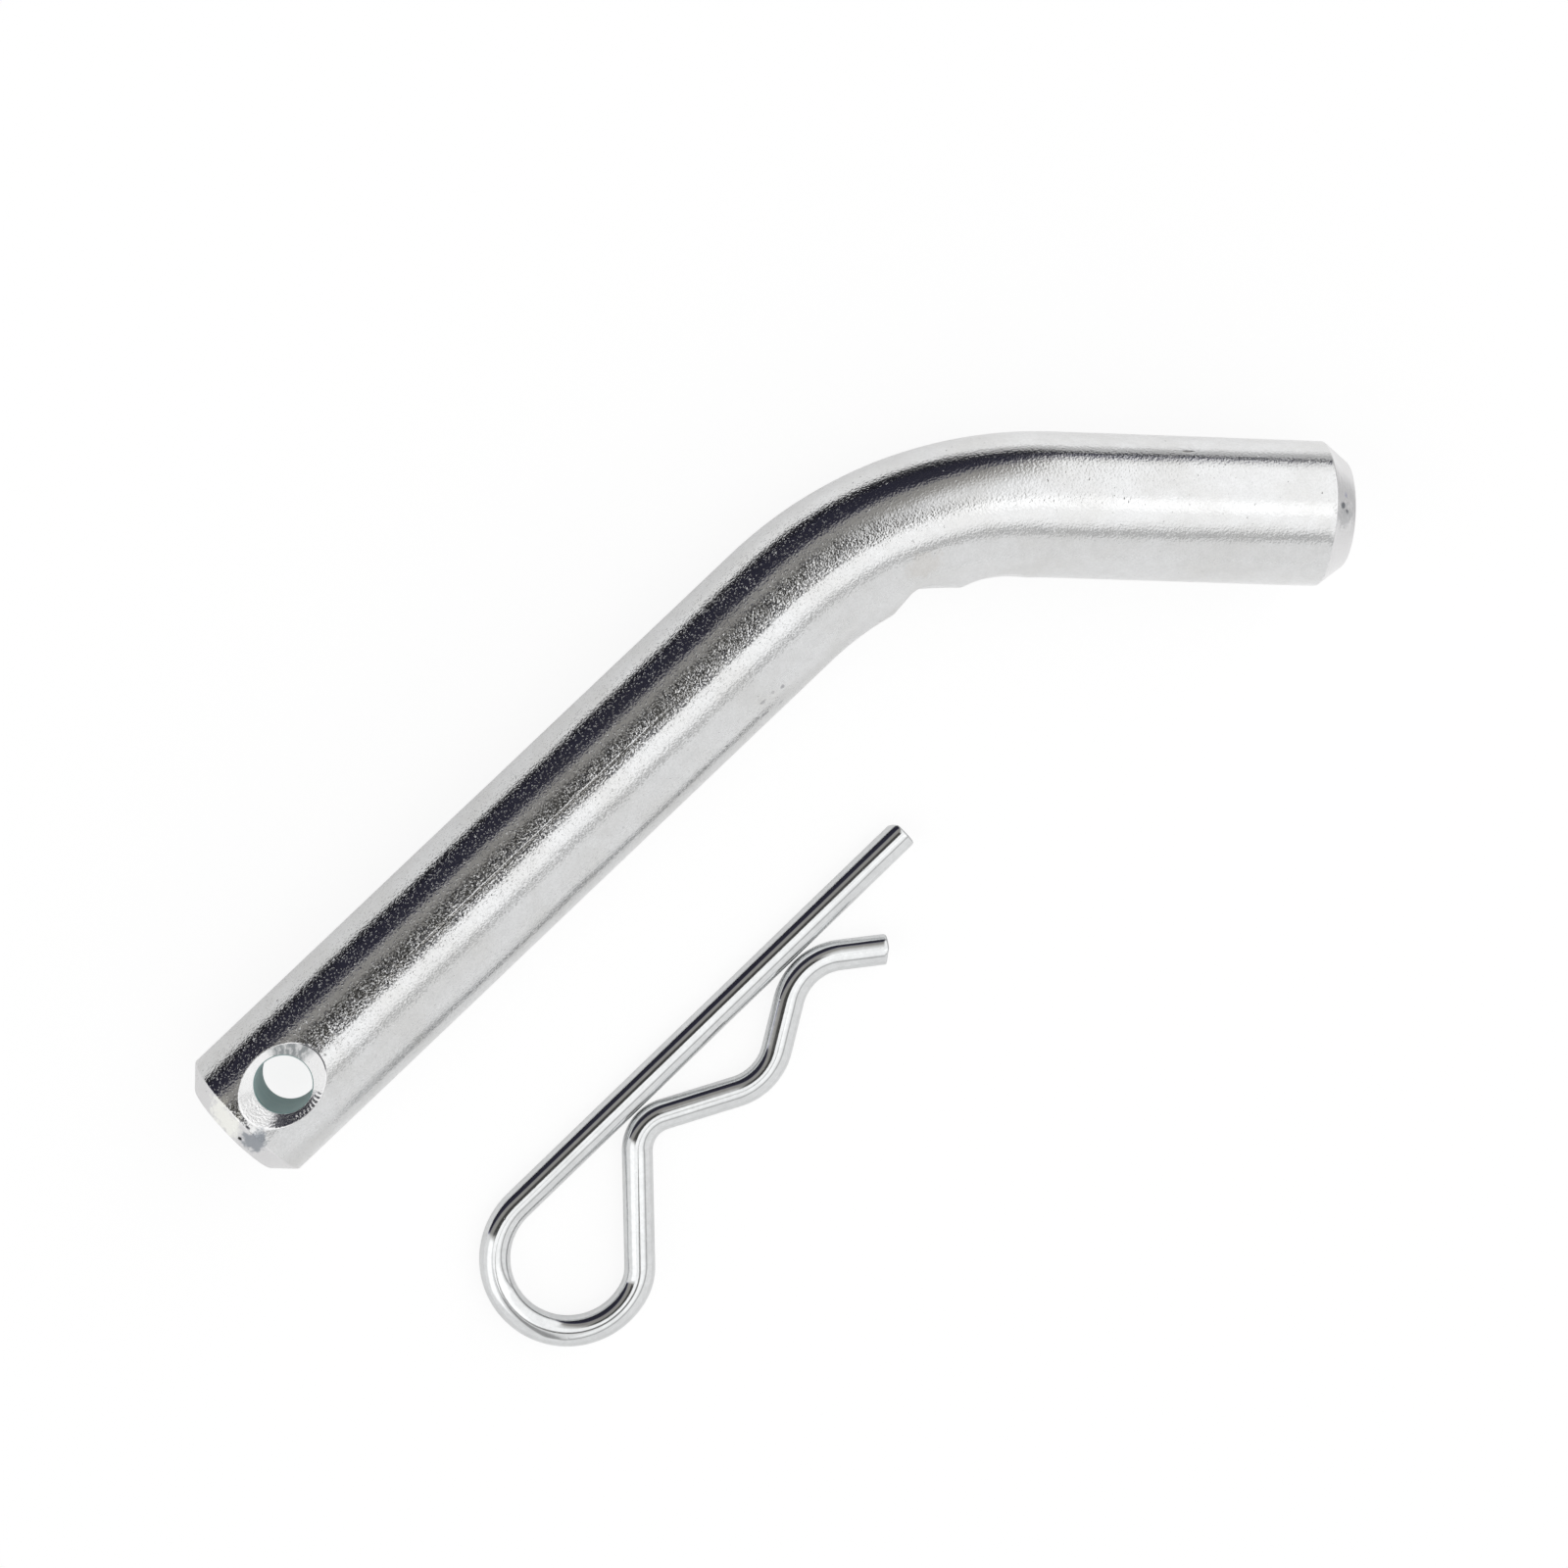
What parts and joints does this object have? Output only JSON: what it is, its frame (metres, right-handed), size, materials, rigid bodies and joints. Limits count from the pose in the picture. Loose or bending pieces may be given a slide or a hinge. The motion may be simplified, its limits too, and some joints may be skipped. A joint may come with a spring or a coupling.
{
  "type": "hitch pin lock",
  "caption": "Bent steel hitch pin with a countersunk cross-hole, laid beside the sprung wire clip that locks it in a trailer receiver.",
  "frame": {"origin": "centre of the pin's cross-hole, on the shank's axis", "axes": "+X along the shank, out of its free end; +Z along the cross-hole, away from the ground the pieces lie on; the arm and the clip are on the +Y side"},
  "size_m": [0.1369, 0.0536, 0.0158],
  "materials": {
    "pin_zinc": "bright zinc plate over drawn bar, fine grain and light drawing lines",
    "clip_zinc": "bright zinc plate over polished spring wire"
  },
  "bodies": {
    "pin": {"bent_pin": "pin_zinc"},
    "clip": {"clip_straight_leg": "clip_zinc"},
    "clip_spring": {"clip_spring_leg": "clip_zinc"}
  },
  "joints": [
    {"name": "clip_lift", "type": "slide", "parent": "pin", "child": "clip", "axis": [0, 0, 1], "range_m": [0, 0.06]},
    {"name": "clip_spread", "type": "hinge", "parent": "clip", "child": "clip_spring", "pos_m": [0.0024, 0.03593, -0.00624], "axis": [0, 0, -1], "range_deg": [0, 8], "stiffness_Nm_per_rad": 15}
  ]
}
